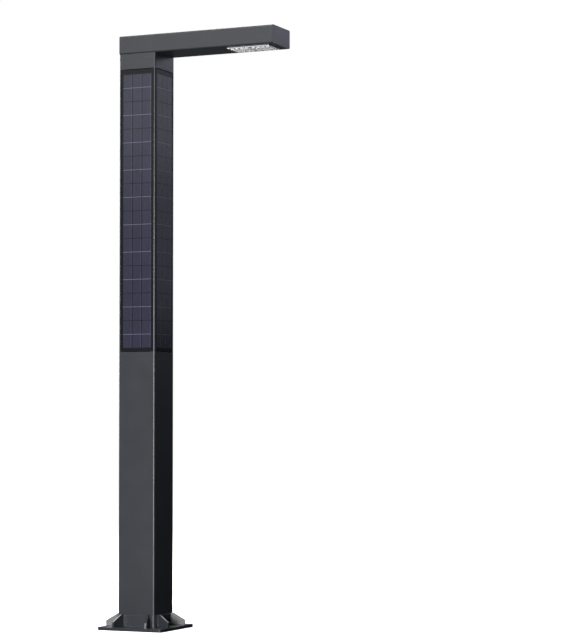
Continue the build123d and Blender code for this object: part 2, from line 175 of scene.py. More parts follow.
def around(azimuth, elevation, distance, aim):
    """A place seen from an aim; azimuth 0 is straight in front, positive to its right."""
    across = math.radians(azimuth)
    up = math.radians(elevation)
    return Vector(aim) + distance * Vector((
        math.sin(across) * math.cos(up), -math.cos(across) * math.cos(up), math.sin(up)))


knee = (0, 0, 0.8)
waist = (0, 0, 1.0)
chest = (0, 0, 1.4)
head = (0, 0, 1.8)
softbox("front_low", around(10, 5, 9.0, knee), knee, (3.0, 2.0), 547)
softbox("front_high", around(5, 10, 9.0, waist), waist, (3.0, 3.0), 189)
softbox("low_strip", (0.7, -4.9, 0.35), (0, 0, 0.3), (1.6, 0.7), 75)
softbox("left_fill_low", around(-26, 18, 9.0, chest), chest, (3.0, 2.0), 40)
softbox("left_fill_high", around(-26, 45, 9.0, chest), chest, (3.0, 2.0), 224)
softbox("back_right_low", around(156, 6, 8.0, head), head, (3.0, 1.5), 5.6, "e9eaff")
softbox("back_right_middle", around(156, 16, 8.0, head), head, (3.0, 1.5), 12, "e9eaff")
softbox("back_right_high", around(156, 24, 8.0, head), head, (3.0, 1.5), 24, "e9eaff")
softbox("left_side", around(-100, 12, 7.0, chest), chest, (3.0, 4.0), 300)
softbox("back_left", around(-130, 20, 8.0, chest), chest, (3.0, 4.0), 250)
softbox("back_low", around(-155, 2, 9.0, chest), chest, (3.0, 2.0), 1.6)
softbox("back_high", around(-165, 42, 7.0, chest), chest, (3.0, 3.0), 220)
softbox("overhead", around(0, 89, 6.0, chest), chest, (5.0, 5.0), 80)
softbox("floor_bounce", (0.5, -2.6, 0.01), (0.5, -2.6, 1.0), (4.0, 3.0), 24)

# The floor has a light of its own, so that it is evenly pale out to the horizon.
floor_only = bpy.data.collections.new("floor_only")
floor_only.objects.link(floor)
sun_data = bpy.data.lights.new("floor_light", "SUN")
sun_data.energy = 3.7
sun_data.angle = math.radians(30)
sun = bpy.data.objects.new("floor_light", sun_data)
sun.location = (0, 0, 8.0)
sun.light_linking.receiver_collection = floor_only
scene.collection.objects.link(sun)


# ---- base: a plate, a collar welded round the column's foot and eight ribs between them ----
# All are mild steel, cut and welded, hot-dip galvanised and powder coated as one piece with
# the column. The plate has four anchor holes and a hole in the middle for the ground cable.
def powder_coat():
    """Anthracite polyester powder on galvanised steel, cured to a semi-gloss.

    The eye gets a soft sheen with a fine orange peel, and faint clouds where the film is
    thicker. The peel's waves are 2.5 mm long; the grains between them are 0.6 mm.
    """
    made, tree, shader = material("anthracite_powder_coat", {
        "IOR": 1.5, "Coat Weight": 0.15, "Coat Roughness": 0.2})
    place = add(tree, "ShaderNodeTexCoord").outputs["Object"]
    clouds = add(tree, "ShaderNodeTexNoise", {"Vector": place, "Scale": 9.0, "Detail": 3.0})
    tone = add(tree, "ShaderNodeMix", {"Factor": clouds.outputs["Fac"],
                                       6: linear("27292e"), 7: linear("2c2f35")},
               data_type="RGBA")
    shine = add(tree, "ShaderNodeMapRange", {"Value": clouds.outputs["Fac"],
                                             "To Min": 0.34, "To Max": 0.42})
    peel = add(tree, "ShaderNodeTexNoise", {"Vector": place, "Scale": 400.0, "Detail": 1.0})
    grain = add(tree, "ShaderNodeTexNoise", {"Vector": place, "Scale": 1600.0, "Detail": 0.0})
    waves = add(tree, "ShaderNodeBump", {"Height": peel.outputs["Fac"], "Strength": 0.12,
                                         "Distance": 0.0002})
    skin = add(tree, "ShaderNodeBump", {"Height": grain.outputs["Fac"], "Strength": 0.06,
                                        "Distance": 0.0001, "Normal": waves.outputs[0]})
    feed(tree, shader, {"Base Color": tone.outputs[2], "Roughness": shine.outputs[0],
                        "Normal": skin.outputs[0]})
    return made


def eased(node, finish, radius):
    """Stand a copy of a CAD node in its place, with its sharp edges eased by a small round."""
    shape = bmesh.new()
    shape.from_mesh(frame["nodes"][node].data)
    bmesh.ops.remove_doubles(shape, verts=shape.verts, dist=1e-6)
    bmesh.ops.dissolve_limit(shape, angle_limit=math.radians(0.5), verts=shape.verts,
                             edges=shape.edges)
    for face in shape.faces:
        face.material_index = 0
    made = piece(node + "_eased", shape, finish, ease=radius)
    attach(made, frame["nodes"][node]["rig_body"])
    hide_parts(node)


def grown(name, tree, values, host=None):
    """Run a node tree on a host mesh and keep what it makes as a plain mesh object."""
    made = bpy.data.objects.new(name, host or bpy.data.meshes.new(name))
    scene.collection.objects.link(made)
    growth = made.modifiers.new("growth", "NODES")
    growth.node_group = tree
    for socket in tree.interface.items_tree:
        if socket.in_out == "INPUT" and socket.name in values:
            growth[socket.identifier] = values[socket.name]
    graph = bpy.context.evaluated_depsgraph_get()
    mesh = bpy.data.meshes.new_from_object(made.evaluated_get(graph), depsgraph=graph,
                                           preserve_all_data_layers=True)
    made.modifiers.remove(growth)
    made.data = mesh
    return made


def node_tree(name, inputs):
    """A geometry node tree with named inputs; returns the tree, its inputs and its output."""
    tree = bpy.data.node_groups.new(name, "GeometryNodeTree")
    for label, kind in inputs.items():
        tree.interface.new_socket(label, in_out="INPUT", socket_type="NodeSocket" + kind)
    tree.interface.new_socket("Geometry", in_out="OUTPUT", socket_type="NodeSocketGeometry")
    given = add(tree, "NodeGroupInput").outputs
    return tree, given, add(tree, "NodeGroupOutput").inputs[0]


def weld_tree():
    """A rippled bead swept along every open path of the host mesh, with closed ends."""
    tree, given, result = node_tree("weld_bead", {
        "Seams": "Geometry", "Radius": "Float", "Ripple": "Float", "Step": "Float",
        "Finish": "Material"})
    seams = add(tree, "GeometryNodeMeshToCurve", {0: given["Seams"]})
    steps = add(tree, "GeometryNodeResampleCurve", {0: seams.outputs[0],
                                                    "Length": given["Step"]}, mode="LENGTH")
    along = add(tree, "GeometryNodeSplineParameter")
    share = add(tree, "ShaderNodeMath", {0: along.outputs["Length"], 1: given["Ripple"]},
                operation="DIVIDE")
    turn = add(tree, "ShaderNodeMath", {0: share.outputs[0], 1: 2 * math.pi},
               operation="MULTIPLY")
    wave = add(tree, "ShaderNodeMath", {0: turn.outputs[0]}, operation="SINE")
    swell = add(tree, "ShaderNodeMapRange", {"Value": wave.outputs[0], "From Min": -1.0,
                                             "To Min": 0.84, "To Max": 1.0})
    ring = add(tree, "GeometryNodeCurvePrimitiveCircle", {"Resolution": 10,
                                                          "Radius": given["Radius"]})
    bead = add(tree, "GeometryNodeCurveToMesh", {
        "Curve": steps.outputs[0], "Profile Curve": ring.outputs[0],
        "Scale": swell.outputs[0], "Fill Caps": True})
    soft = add(tree, "GeometryNodeSetShadeSmooth", {0: bead.outputs[0]})
    whole = add(tree, "GeometryNodeRealizeInstances", {0: soft.outputs[0]})
    finished = add(tree, "GeometryNodeSetMaterial", {"Geometry": whole.outputs[0],
                                                     "Material": given["Finish"]})
    tree.links.new(finished.outputs[0], result)
    return tree


paint = powder_coat()
cut_edge_round = 0.0008
for node in ("base_plate", "base_collar", "base_ribs"):
    eased(node, paint, cut_edge_round)

weld_radius = 0.0028
weld_ripple = 0.0030
weld_step = 0.0010
rib_root_offset = 0.068
rib_splay = math.radians(17.5)
rib_half_thickness = 0.005
rib_foot = 0.069
rib_top = 0.061
collar_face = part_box("base_collar")[1].x
plate_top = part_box("base_plate")[1].z
seams = bmesh.new()


def seam(*points):
    """One weld path for the host mesh, through its points in order."""
    corners = [seams.verts.new(point) for point in points]
    for before, after in zip(corners, corners[1:]):
        seams.edges.new((before, after))


for quarter in range(4):
    turn = Matrix.Rotation(quarter * math.pi / 2, 4, "Z")
    reach = rib_root_offset - 2 * rib_half_thickness
    seam(turn @ Vector((collar_face, -reach, plate_top)),
         turn @ Vector((collar_face, reach, plate_top)))
    for side in (-1, 1):
        splay = Matrix.Rotation(side * rib_splay, 4, "Z")
        root = Matrix.Translation((collar_face, side * rib_root_offset, plate_top))
        for flank in (-1, 1):
            flat = flank * rib_half_thickness
            # A flank meets the collar where its own splayed line crosses the collar's face.
            start = side * flat * math.tan(rib_splay)
            up = rib_top - weld_radius
            seam(*[turn @ root @ splay @ Vector(point) for point in (
                (rib_foot, flat, 0), (start, flat, 0), (start, flat, up))])
welds = bpy.data.meshes.new("weld_paths")
seams.to_mesh(welds)
seams.free()
bead = grown("base_weld_beads", weld_tree(), {
    "Radius": weld_radius, "Ripple": weld_ripple, "Step": weld_step, "Finish": paint}, welds)
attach(bead, "root")


# ---- column: square tube, four corner posts beside the modules, head tube and top plate ----
# Cold-formed square tube below and above, and folded posts between them, welded flush, ground
# and powder coated. Zinc-plated rings inside tie the four posts together.
def zinc_plate():
    """Bright zinc plating on folded steel sheet.

    The eye gets a pale satin grey with faint blue and yellow clouds from the passivation and
    a fine grain left by the rolled sheet. The clouds are about 60 mm across.
    """
    made, tree, shader = material("zinc_plated_sheet_steel", {"Metallic": 1.0})
    place = add(tree, "ShaderNodeTexCoord").outputs["Object"]
    clouds = add(tree, "ShaderNodeTexNoise", {"Vector": place, "Scale": 16.0, "Detail": 4.0})
    tone = add(tree, "ShaderNodeValToRGB", {"Fac": clouds.outputs["Fac"]})
    ramp = tone.color_ramp.elements
    ramp[0].position, ramp[0].color = 0.35, linear("a9adb4")
    ramp[1].position, ramp[1].color = 0.65, linear("c2c0b6")
    spangle = add(tree, "ShaderNodeTexVoronoi", {"Vector": place, "Scale": 220.0})
    shine = add(tree, "ShaderNodeMapRange", {"Value": spangle.outputs["Distance"],
                                             "To Min": 0.3, "To Max": 0.48})
    grain = add(tree, "ShaderNodeTexNoise", {"Vector": place, "Scale": 900.0, "Detail": 1.0})
    relief = add(tree, "ShaderNodeBump", {"Height": grain.outputs["Fac"], "Strength": 0.08,
                                          "Distance": 0.0001})
    feed(tree, shader, {"Base Color": tone.outputs["Color"], "Roughness": shine.outputs[0],
                        "Normal": relief.outputs[0]})
    return made


def dress(finish, *nodes):
    """Give CAD nodes whose shape is right their finish."""
    for name in nodes:
        slots = frame["nodes"][name].data.materials
        for index in range(len(slots)):
            slots[index] = finish


ground_edge_round = 0.0006
for node in ("column_tube", "column_head", "column_top_plate", "corner_post_front_left",
             "corner_post_front_right", "corner_post_back_left", "corner_post_back_right"):
    eased(node, paint, ground_edge_round)
zinc = zinc_plate()
dress(zinc, "brace_ring_lower", "brace_ring_middle", "brace_ring_upper")


# ---- solar modules: one glass laminate of 3 x 10 cells let into each face of the column ----
# Tempered front glass with a ground edge over dark monocrystalline cell strips on a black
# backing sheet. Each row of three strips is joined by one tinned copper ribbon. The laminate
# is bonded to a rubber seal on the corner posts' flanges.
def tile_tree():
    """Flat tiles in a grid that lies across X, each with its own random tint."""
    tree, given, result = node_tree("tiles_across_a_face", {
        "Centre": "Vector", "Across": "Int", "Up": "Int", "Pitch across": "Float",
        "Pitch up": "Float", "Tile": "Vector", "Seed": "Int", "Finish": "Material"})

    def first_place(count, pitch):
        """Half the row's length before its middle."""
        gaps = add(tree, "ShaderNodeMath", {0: count, 1: 1.0}, operation="SUBTRACT")
        span = add(tree, "ShaderNodeMath", {0: gaps.outputs[0], 1: pitch},
                   operation="MULTIPLY")
        return add(tree, "ShaderNodeMath", {0: span.outputs[0], 1: -0.5},
                   operation="MULTIPLY").outputs[0]

    start_across = add(tree, "ShaderNodeCombineXYZ", {
        "Y": first_place(given["Across"], given["Pitch across"])})
    start_up = add(tree, "ShaderNodeCombineXYZ", {
        "Z": first_place(given["Up"], given["Pitch up"])})
    step_across = add(tree, "ShaderNodeCombineXYZ", {"Y": given["Pitch across"]})
    step_up = add(tree, "ShaderNodeCombineXYZ", {"Z": given["Pitch up"]})
    row = add(tree, "GeometryNodeMeshLine", {
        "Count": given["Across"], "Start Location": start_across.outputs[0],
        "Offset": step_across.outputs[0]})
    column = add(tree, "GeometryNodeMeshLine", {
        "Count": given["Up"], "Start Location": start_up.outputs[0],
        "Offset": step_up.outputs[0]})
    tile = add(tree, "GeometryNodeMeshCube", {"Size": given["Tile"]})
    strip = add(tree, "GeometryNodeInstanceOnPoints", {"Points": column.outputs[0],
                                                       "Instance": tile.outputs[0]})
    strips = add(tree, "GeometryNodeRealizeInstances", {0: strip.outputs[0]})
    field = add(tree, "GeometryNodeInstanceOnPoints", {"Points": row.outputs[0],
                                                       "Instance": strips.outputs[0]})
    whole = add(tree, "GeometryNodeRealizeInstances", {0: field.outputs[0]})
    moved = add(tree, "GeometryNodeTransform", {"Geometry": whole.outputs[0],
                                                "Translation": given["Centre"]})
    island = add(tree, "GeometryNodeInputMeshIsland")
    tint = add(tree, "FunctionNodeRandomValue", {"ID": island.outputs["Island Index"],
                                                 "Seed": given["Seed"]}, data_type="FLOAT")
    tinted = add(tree, "GeometryNodeStoreNamedAttribute", {
        "Geometry": moved.outputs[0], "Name": "tint", "Value": tint.outputs[1]},
        data_type="FLOAT", domain="POINT")
    finished = add(tree, "GeometryNodeSetMaterial", {"Geometry": tinted.outputs[0],
                                                     "Material": given["Finish"]})
    tree.links.new(finished.outputs[0], result)
    return tree


def cell_silicon():
    """Textured monocrystalline silicon with a blue-violet nitride coating, under solar glass.

    The eye gets a deep blue-violet with strips a shade apart, fine silver fingers up each
    strip, and the glass's own gloss. The fingers are 1.6 mm apart on a real cell and are
    drawn 5.2 mm apart so that they show.
    """
    finger_pitch = 0.0052
    made, tree, shader = material("nitride_coated_silicon_under_glass", {
        "Roughness": 0.5, "IOR": 1.5, "Specular IOR Level": 0.1, "Coat Weight": 1.0,
        "Coat Roughness": 0.2, "Coat IOR": 1.32})
    place = add(tree, "ShaderNodeTexCoord").outputs["Object"]
    split = add(tree, "ShaderNodeSeparateXYZ", {0: place})
    # On a face across X the fingers step along Y, and on one across Y along X.
    side = add(tree, "ShaderNodeMath", {0: split.outputs["X"], 1: split.outputs["Y"]},
               operation="ADD")
    phase = add(tree, "ShaderNodeMath", {0: side.outputs[0], 1: 2 * math.pi / finger_pitch},
                operation="MULTIPLY")
    wave = add(tree, "ShaderNodeMath", {0: phase.outputs[0]}, operation="COSINE")
    finger = add(tree, "ShaderNodeMapRange", {"Value": wave.outputs[0], "From Min": 0.3,
                                              "From Max": 0.9, "To Max": 0.75})
    tint = add(tree, "ShaderNodeAttribute", attribute_name="tint")
    silicon = add(tree, "ShaderNodeMix", {"Factor": tint.outputs["Fac"],
                                          6: linear("1a1a29"), 7: linear("1f1d2e")},
                  data_type="RGBA")
    cloud = add(tree, "ShaderNodeTexNoise", {"Vector": place, "Scale": 22.0, "Detail": 2.0})
    shade = add(tree, "ShaderNodeMapRange", {"Value": cloud.outputs["Fac"],
                                             "To Min": 0.88, "To Max": 1.1})
    clouded = add(tree, "ShaderNodeVectorMath", {0: silicon.outputs[2],
                                                 "Scale": shade.outputs[0]},
                  operation="SCALE")
    silvered = add(tree, "ShaderNodeMix", {"Factor": finger.outputs[0],
                                           6: clouded.outputs[0], 7: linear("454659")},
                   data_type="RGBA")
    feed(tree, shader, {"Base Color": silvered.outputs[2]})
    return made


def glass_over_black():
    """Low-iron solar glass with a fine matt texture over a black backing sheet.

    The eye gets a near-black border with the glass's soft sheen and a trace of dust.
    """
    made, tree, shader = material("solar_glass_over_black_backing", {
        "Roughness": 0.5, "IOR": 1.5, "Specular IOR Level": 0.1, "Coat Weight": 0.4,
        "Coat Roughness": 0.2, "Coat IOR": 1.32})
    place = add(tree, "ShaderNodeTexCoord").outputs["Object"]
    dust = add(tree, "ShaderNodeTexNoise", {"Vector": place, "Scale": 60.0, "Detail": 4.0})
    black = add(tree, "ShaderNodeMix", {"Factor": dust.outputs["Fac"],
                                        6: linear("0d0d11"), 7: linear("131318")},
                data_type="RGBA")
    feed(tree, shader, {"Base Color": black.outputs[2]})
    return made


def tinned_ribbon():
    """Tinned copper ribbon under glass: bright silver, slightly uneven where it was soldered."""
    made, tree, shader = material("tinned_copper_ribbon_under_glass", {
        "Metallic": 0.4, "Roughness": 0.5, "Coat Weight": 1.0, "Coat Roughness": 0.2,
        "Coat IOR": 1.32})
    place = add(tree, "ShaderNodeTexCoord").outputs["Object"]
    solder = add(tree, "ShaderNodeTexNoise", {"Vector": place, "Scale": 90.0, "Detail": 2.0})
    silver = add(tree, "ShaderNodeMix", {"Factor": solder.outputs["Fac"],
                                         6: linear("4e4f5e"), 7: linear("5a5b6b")},
                 data_type="RGBA")
    feed(tree, shader, {"Base Color": silver.outputs[2]})
    return made


def seal_rubber():
    """Extruded EPDM rubber: matt black with a dry, very fine grain of about 1 mm."""
    made, tree, shader = material("black_epdm_rubber", {"Roughness": 0.78, "IOR": 1.52})
    place = add(tree, "ShaderNodeTexCoord").outputs["Object"]
    grain = add(tree, "ShaderNodeTexNoise", {"Vector": place, "Scale": 1000.0, "Detail": 2.0})
    black = add(tree, "ShaderNodeMix", {"Factor": grain.outputs["Fac"],
                                        6: linear("141414"), 7: linear("202020")},
                data_type="RGBA")
    relief = add(tree, "ShaderNodeBump", {"Height": grain.outputs["Fac"], "Strength": 0.2,
                                          "Distance": 0.0001})
    feed(tree, shader, {"Base Color": black.outputs[2], "Normal": relief.outputs[0]})
    return made


def moulded_plastic(name, dark, light, roughness):
    """Injection-moulded ABS or polycarbonate with a spark-eroded texture of 0.7 mm pits."""
    made, tree, shader = material(name, {"Roughness": roughness, "IOR": 1.54})
    place = add(tree, "ShaderNodeTexCoord").outputs["Object"]
    pits = add(tree, "ShaderNodeTexVoronoi", {"Vector": place, "Scale": 1400.0})
    flow = add(tree, "ShaderNodeTexNoise", {"Vector": place, "Scale": 30.0, "Detail": 2.0})
    tone = add(tree, "ShaderNodeMix", {"Factor": flow.outputs["Fac"], 6: linear(dark),
                                       7: linear(light)}, data_type="RGBA")
    relief = add(tree, "ShaderNodeBump", {"Height": pits.outputs["Distance"],
                                          "Strength": 0.25, "Distance": 0.0001})
    feed(tree, shader, {"Base Color": tone.outputs[2], "Normal": relief.outputs[0]})
    return made


cell_columns = 3
cell_rows = 10
cell_pitch_across = 0.0525
cell_pitch_up = 0.13445
cell_gap = 0.0026
cell_thickness = 0.0002
ribbon_width = 0.0030
ribbon_overhang = 0.001
tab_width = 0.0010
tab_offset = 0.0205
top_margin = 0.0235
glass_chamfer = 0.0008
junction_box_round = 0.0015
tile_grid = tile_tree()
silicon = cell_silicon()
glass = glass_over_black()
ribbon = tinned_ribbon()
low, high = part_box("pv_module_right")
glass_face = high.x - 2 * cell_thickness
glass_back = low.x
field_middle = high.z - top_margin - cell_rows * cell_pitch_up / 2
ribbon_length = cell_columns * cell_pitch_across - cell_gap + ribbon_overhang
# Each layer on the glass: its name and finish, how many of its thicknesses its middle lies over
# the glass, its shift across, its count across, and the width and height of one tile.
layers = (
    ("cells", silicon, 0.5, 0.0, cell_columns, cell_pitch_across - cell_gap,
     cell_pitch_up - cell_gap),
    ("ribbons", ribbon, 1.25, 0.0, 1, ribbon_length, ribbon_width),
    ("tabs", ribbon, 1.0, tab_offset, cell_columns, tab_width, cell_pitch_up - 2 * cell_gap))
for quarter, side in enumerate(("right", "back", "left", "front")):
    pane = bmesh.new()
    bmesh.ops.create_cube(pane, size=1.0, matrix=Matrix.Translation(
        ((glass_face + glass_back) / 2, 0, (low.z + high.z) / 2)) @ Matrix.Diagonal(
            (glass_face - glass_back, high.y - low.y, high.z - low.z, 1.0)))
    front_edges = [e for e in pane.edges
                   if all(v.co.x > glass_face - 1e-6 for v in e.verts)]
    bmesh.ops.bevel(pane, geom=front_edges, offset=glass_chamfer, segments=1,
                    affect="EDGES")
    laminate = piece(f"solar_glass_{side}", pane, glass)
    face_pieces = [laminate]
    for name, finish, lift, shift, across, width, height in layers:
        face_pieces.append(grown(f"solar_{name}_{side}", tile_grid, {
            "Centre": (glass_face + cell_thickness * lift, shift, field_middle),
            "Across": across, "Up": cell_rows, "Pitch across": cell_pitch_across,
            "Pitch up": cell_pitch_up, "Seed": quarter, "Finish": finish,
            "Tile": (cell_thickness, width, height)}))
    for made in face_pieces:
        made.data.transform(Matrix.Rotation(quarter * math.pi / 2, 4, "Z"))
        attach(made, "root")
    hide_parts(f"pv_module_{side}")
rubber = seal_rubber()
black_plastic = moulded_plastic("black_moulded_polycarbonate", "17171a", "1d1d20", 0.48)
dress(rubber, "pv_gasket_front", "pv_gasket_right", "pv_gasket_back", "pv_gasket_left")
eased("pv_junction_boxes", black_plastic, junction_box_round)


# ---- arm: a rectangular tube laid on the top plate, with a flush cap in each end ----
# Drawn steel tube with a welded cap inside each end, powder coated with the column. Four
# zinc-plated bolts come up through the top plate into nuts welded inside the tube.
for node in ("arm_tube", "arm_tip_cap", "arm_rear_cap"):
    eased(node, paint, ground_edge_round)
dress(zinc, "arm_bolts", "arm_weld_nuts")


# ---- LED unit: two clear optics under the arm's tip, an LED board and a finned heat sink ----
# Each optic is one acrylic moulding with a lens over every LED. Eight stainless screws clamp
# the optics and a rubber seal to the arm, through it into the extruded aluminium heat sink.
def clear_acrylic():
    """Injection-moulded clear acrylic.

    The eye gets a glossy, slightly milky plastic with faint flow lines 40 mm long, over the
    white board behind it.
    """
    made, tree, shader = material("clear_moulded_acrylic", {
        "Roughness": 0.12, "IOR": 1.49, "Transmission Weight": 0.2})
    place = add(tree, "ShaderNodeTexCoord").outputs["Object"]
    along = add(tree, "ShaderNodeMapping", {"Vector": place, "Scale": (25.0, 180.0, 60.0)})
    flow = add(tree, "ShaderNodeTexNoise", {"Vector": along.outputs[0], "Detail": 2.0,
                                            "Scale": 1.0})
    tone = add(tree, "ShaderNodeMix", {"Factor": flow.outputs["Fac"], 6: linear("f4f4f8"),
                                       7: linear("fbfbfd")}, data_type="RGBA")
    relief = add(tree, "ShaderNodeBump", {"Height": flow.outputs["Fac"], "Strength": 0.05,
                                          "Distance": 0.0002})
    feed(tree, shader, {"Base Color": tone.outputs[2], "Normal": relief.outputs[0]})
    return made


def white_solder_mask():
    """White solder mask on an aluminium board: satin, with the tracks 2.5 mm apart just raised."""
    made, tree, shader = material("white_solder_mask", {"Roughness": 0.38, "IOR": 1.5})
    place = add(tree, "ShaderNodeTexCoord").outputs["Object"]
    tracks = add(tree, "ShaderNodeTexWave", {"Vector": place, "Scale": 64.0,
                                             "Distortion": 1.5}, bands_direction="Y")
    tone = add(tree, "ShaderNodeMix", {"Factor": tracks.outputs["Fac"], 6: linear("e4e5e2"),
                                       7: linear("efefed")}, data_type="RGBA")
    relief = add(tree, "ShaderNodeBump", {"Height": tracks.outputs["Fac"], "Strength": 0.15,
                                          "Distance": 0.0001})
    feed(tree, shader, {"Base Color": tone.outputs[2], "Normal": relief.outputs[0]})
    return made


def led_phosphor():
    """Silicone with yellow phosphor over an LED chip: an even egg yellow with 0.3 mm grains."""
    made, tree, shader = material("yellow_led_phosphor", {"Roughness": 0.3, "IOR": 1.41})
    place = add(tree, "ShaderNodeTexCoord").outputs["Object"]
    grains = add(tree, "ShaderNodeTexVoronoi", {"Vector": place, "Scale": 3300.0})
    tone = add(tree, "ShaderNodeMix", {"Factor": grains.outputs["Distance"],
                                       6: linear("e3c85e"), 7: linear("eedb86")},
               data_type="RGBA")
    feed(tree, shader, {"Base Color": tone.outputs[2]})
    return made


def drawn_metal(name, dark, light, smooth, rough, grain_scale):
    """Bare metal with fine parallel lines from the die or the brush, along its long side."""
    made, tree, shader = material(name, {"Metallic": 1.0})
    place = add(tree, "ShaderNodeTexCoord").outputs["Object"]
    along = add(tree, "ShaderNodeMapping", {"Vector": place, "Scale": grain_scale})
    lines = add(tree, "ShaderNodeTexNoise", {"Vector": along.outputs[0], "Scale": 1.0,
                                             "Detail": 3.0})
    tone = add(tree, "ShaderNodeMix", {"Factor": lines.outputs["Fac"], 6: linear(dark),
                                       7: linear(light)}, data_type="RGBA")
    shine = add(tree, "ShaderNodeMapRange", {"Value": lines.outputs["Fac"],
                                             "To Min": smooth, "To Max": rough})
    relief = add(tree, "ShaderNodeBump", {"Height": lines.outputs["Fac"], "Strength": 0.1,
                                          "Distance": 0.0001})
    feed(tree, shader, {"Base Color": tone.outputs[2], "Roughness": shine.outputs[0],
                        "Normal": relief.outputs[0]})
    return made


def copies_tree():
    """One item copied to every loose point of the host mesh."""
    tree, given, result = node_tree("copies_on_places", {
        "Places": "Geometry", "Item": "Object", "Finish": "Material"})
    item = add(tree, "GeometryNodeObjectInfo", {"Object": given["Item"]})
    spread = add(tree, "GeometryNodeInstanceOnPoints", {
        "Points": given["Places"], "Instance": item.outputs["Geometry"]})
    whole = add(tree, "GeometryNodeRealizeInstances", {0: spread.outputs[0]})
    finished = add(tree, "GeometryNodeSetMaterial", {"Geometry": whole.outputs[0],
                                                     "Material": given["Finish"]})
    tree.links.new(finished.outputs[0], result)
    return tree


copies = copies_tree()


def copied(name, shape, places, finish):
    """Copies of one small shape, one at each place, as a single plain mesh object."""
    item_mesh = bpy.data.meshes.new(name + "_item")
    shape.to_mesh(item_mesh)
    shape.free()
    item_mesh.shade_smooth()
    item_mesh.set_sharp_from_angle(angle=math.radians(30))
    item = bpy.data.objects.new(name + "_item", item_mesh)
    scene.collection.objects.link(item)
    host = bpy.data.meshes.new(name + "_places")
    host.from_pydata([tuple(place) for place in places], [], [])
    made = grown(name, copies, {"Item": item, "Finish": finish}, host)
    bpy.data.objects.remove(item)
    return made


def turned(shape, profile, place, finish=0, segments=24):
    """Turn a profile of (radius, height) round Z; a third value makes that ring hexagonal."""
    rings = []
    for radius, height, *hexagonal in profile:
        ring = []
        for step in range(segments if radius else 1):
            angle = 2 * math.pi * step / segments
            reach = radius
            if hexagonal:
                reach = radius / math.cos(angle % (math.pi / 3) - math.pi / 6)
            ring.append(shape.verts.new(place @ Vector((
                reach * math.cos(angle), reach * math.sin(angle), height))))
        rings.append(ring)
    for lower, higher in zip(rings, rings[1:]):
        for step in range(segments):
            corners = (lower[step % len(lower)], lower[(step + 1) % len(lower)],
                       higher[(step + 1) % len(higher)], higher[step % len(higher)])
            face = shape.faces.new(dict.fromkeys(corners))
            face.material_index = finish


def lens_face(shape, centre, level, outline, height, half_cell):
    """One cell of an optic's face: a dome inside a lobed outline, and the flat round it."""
    segments = 32
    rises = 7
    rings = []
    top = shape.verts.new((centre[0], centre[1], level - height))
    for rise in range(1, rises + 1):
        share = rise / rises * math.pi / 2
        ring = []
        for step in range(segments):
            angle = 2 * math.pi * step / segments
            reach = outline(angle) * math.sin(share)
            ring.append(shape.verts.new((
                centre[0] + reach * math.cos(angle), centre[1] + reach * math.sin(angle),
                level - height * math.cos(share))))
        rings.append(ring)
    edge = []
    for step in range(segments):
        angle = 2 * math.pi * step / segments
        reach = half_cell / max(abs(math.cos(angle)), abs(math.sin(angle)))
        edge.append(shape.verts.new((centre[0] + reach * math.cos(angle),
                                     centre[1] + reach * math.sin(angle), level)))
    rings.append(edge)
    for step in range(segments):
        after = (step + 1) % segments
        shape.faces.new((top, rings[0][step], rings[0][after]))
        for inner, outer in zip(rings, rings[1:]):
            shape.faces.new((inner[step], outer[step], outer[after], inner[after]))


def settle(items, place):
    """Put a shape's corners or its faces in a fixed order, by where they are."""
    items.index_update()
    order = {item.index: rank for rank, item in enumerate(sorted(items, key=place))}
    items.sort(key=lambda item: order[item.index])
    items.index_update()


def optic(low, high):
    """A clear plate with a two-lobed lens below each LED and a small pocket over it."""
    cells = 4
    cell = 0.025
    lens_radius = 0.0094
    lobe_swell = 0.0022
    pocket_radius = 0.0042
    pocket_height = 0.0034
    plate_thickness = 0.0033
    rim_chamfer = 0.0006

    def lobes(angle):
        """The lens's outline: longer across the road than along it."""
        return lens_radius + lobe_swell * math.cos(2 * angle) ** 2 * abs(math.sin(angle))

    middle = (low + high) / 2
    plate_low = high.z - plate_thickness
    shape = bmesh.new()
    for i in range(cells):
        for j in range(cells):
            centre = (middle.x + (i - (cells - 1) / 2) * cell,
                      middle.y + (j - (cells - 1) / 2) * cell)
            lens_face(shape, centre, plate_low, lobes, plate_low - low.z, cell / 2)
            lens_face(shape, centre, high.z, lambda angle: pocket_radius, pocket_height,
                      cell / 2)
    bmesh.ops.remove_doubles(shape, verts=shape.verts, dist=1e-6)
    block = cells * cell / 2
    for level, rim_level in ((plate_low, plate_low + rim_chamfer),
                             (high.z, high.z - rim_chamfer)):
        edges = [e for e in shape.edges if e.is_boundary
                 and all(abs(v.co.z - level) < 1e-6 for v in e.verts)]
        for inset, new_level in ((rim_chamfer, level), (0.0, rim_level)):
            grown_rim = bmesh.ops.extrude_edge_only(shape, edges=edges)["geom"]
            for vert in (g for g in grown_rim if isinstance(g, bmesh.types.BMVert)):
                for axis in (0, 1):
                    offset = vert.co[axis] - middle[axis]
                    reach = (high[axis] - low[axis]) / 2
                    inner = block if new_level == level else reach - rim_chamfer
                    vert.co[axis] = middle[axis] + offset / inner * (reach - inset)
                vert.co.z = new_level
            edges = [g for g in grown_rim if isinstance(g, bmesh.types.BMEdge)
                     and g.is_boundary]
    rims = [e for e in shape.edges if e.is_boundary]
    bmesh.ops.bridge_loops(shape, edges=rims)
    bmesh.ops.recalc_face_normals(shape, faces=shape.faces)
    # The steps above leave the mesh's order different from one run to the next; this fixes it.
    settle(shape.verts, lambda corner: corner.co[:])
    settle(shape.faces, lambda face: face.calc_center_median()[:])
    return shape


